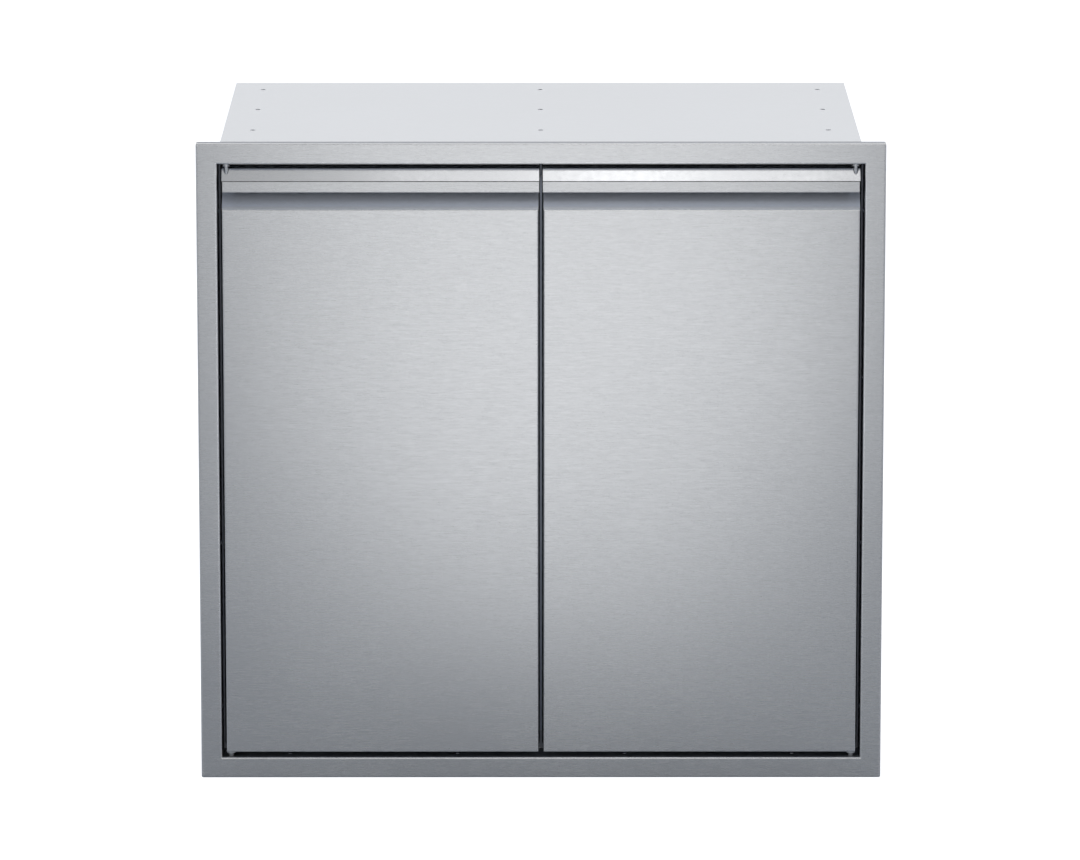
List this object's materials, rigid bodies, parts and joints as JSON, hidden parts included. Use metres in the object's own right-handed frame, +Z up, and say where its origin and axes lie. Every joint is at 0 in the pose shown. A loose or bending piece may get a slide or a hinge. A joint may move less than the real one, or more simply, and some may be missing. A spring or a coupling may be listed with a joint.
{
  "type": "outdoor kitchen cabinet",
  "caption": "Built-in stainless outdoor kitchen cabinet with flush hinged doors, finger pulls, face frame and shelved box.",
  "frame": {"origin": "bottom centre of the bounding box: under the middle of the face frame's lower edge, at half depth", "axes": "+X to the right, +Y from the doors to the back, +Z up"},
  "size_m": [0.762, 0.584, 0.7205],
  "materials": {
    "brushed_steel": "brushed",
    "box_steel": "satin",
    "polished_steel": "polished",
    "bright_fittings": "bright",
    "spring_steel": "satin",
    "magnet": "nickel plated",
    "gasket_rubber": "matt",
    "nylon": "matt",
    "black_plastic": "matt"
  },
  "bodies": {
    "cabinet": {"face_frame": "brushed_steel", "box_top": "box_steel", "box_bottom": "box_steel", "box_back": "box_steel", "centre_mullion": "box_steel", "rear_centre_pilaster": "box_steel", "frame_rivets": "bright_fittings", "mullion_rivets": "bright_fittings", "back_rivets": "bright_fittings", "left_box_side": "box_steel", "right_box_side": "box_steel", "left_gasket": "gasket_rubber", "right_gasket": "gasket_rubber", "left_front_pilaster": "box_steel", "right_front_pilaster": "box_steel", "left_rear_pilaster": "box_steel", "right_rear_pilaster": "box_steel", "left_shelf": "box_steel", "right_shelf": "box_steel", "left_shelf_clips": "bright_fittings", "right_shelf_clips": "bright_fittings", "left_catch_housing": "black_plastic", "right_catch_housing": "black_plastic", "left_catch_magnet": "magnet", "right_catch_magnet": "magnet", "left_catch_screws": "bright_fittings", "right_catch_screws": "bright_fittings", "left_lower_pin": "bright_fittings", "right_lower_pin": "bright_fittings", "left_upper_bushing": "bright_fittings", "right_upper_bushing": "bright_fittings"},
    "left_door": {"left_door_skin": "brushed_steel", "left_door_liner": "box_steel", "left_door_stiffener": "box_steel", "left_pull_lip": "brushed_steel", "left_trim_strip": "polished_steel", "left_upper_pivot_block": "bright_fittings", "left_pin_spring": "spring_steel", "left_lower_pivot_block": "bright_fittings", "left_lower_bushing": "nylon", "left_strike_plate": "bright_fittings", "left_door_screws": "bright_fittings"},
    "left_pin": {"left_upper_pin": "bright_fittings"},
    "right_door": {"right_door_skin": "brushed_steel", "right_door_liner": "box_steel", "right_door_stiffener": "box_steel", "right_pull_lip": "brushed_steel", "right_trim_strip": "polished_steel", "right_upper_pivot_block": "bright_fittings", "right_pin_spring": "spring_steel", "right_lower_pivot_block": "bright_fittings", "right_lower_bushing": "nylon", "right_strike_plate": "bright_fittings", "right_door_screws": "bright_fittings"},
    "right_pin": {"right_upper_pin": "bright_fittings"}
  },
  "joints": [
    {"name": "left_door_hinge", "type": "hinge", "parent": "cabinet", "child": "left_door", "pos_m": [-0.3476, -0.285, 0.36], "axis": [0, 0, -1], "range_deg": [0, 105]},
    {"name": "left_pin_slide", "type": "slide", "parent": "left_door", "child": "left_pin", "axis": [0, 0, -1], "range_m": [0, 0.005], "stiffness_N_per_m": 700, "springref_m": -0.006, "deforming": ["left_pin_spring"]},
    {"name": "right_door_hinge", "type": "hinge", "parent": "cabinet", "child": "right_door", "pos_m": [0.3476, -0.285, 0.36], "axis": [0, 0, 1], "range_deg": [0, 105]},
    {"name": "right_pin_slide", "type": "slide", "parent": "right_door", "child": "right_pin", "axis": [0, 0, -1], "range_m": [0, 0.005], "stiffness_N_per_m": 700, "springref_m": -0.006, "deforming": ["right_pin_spring"]}
  ]
}
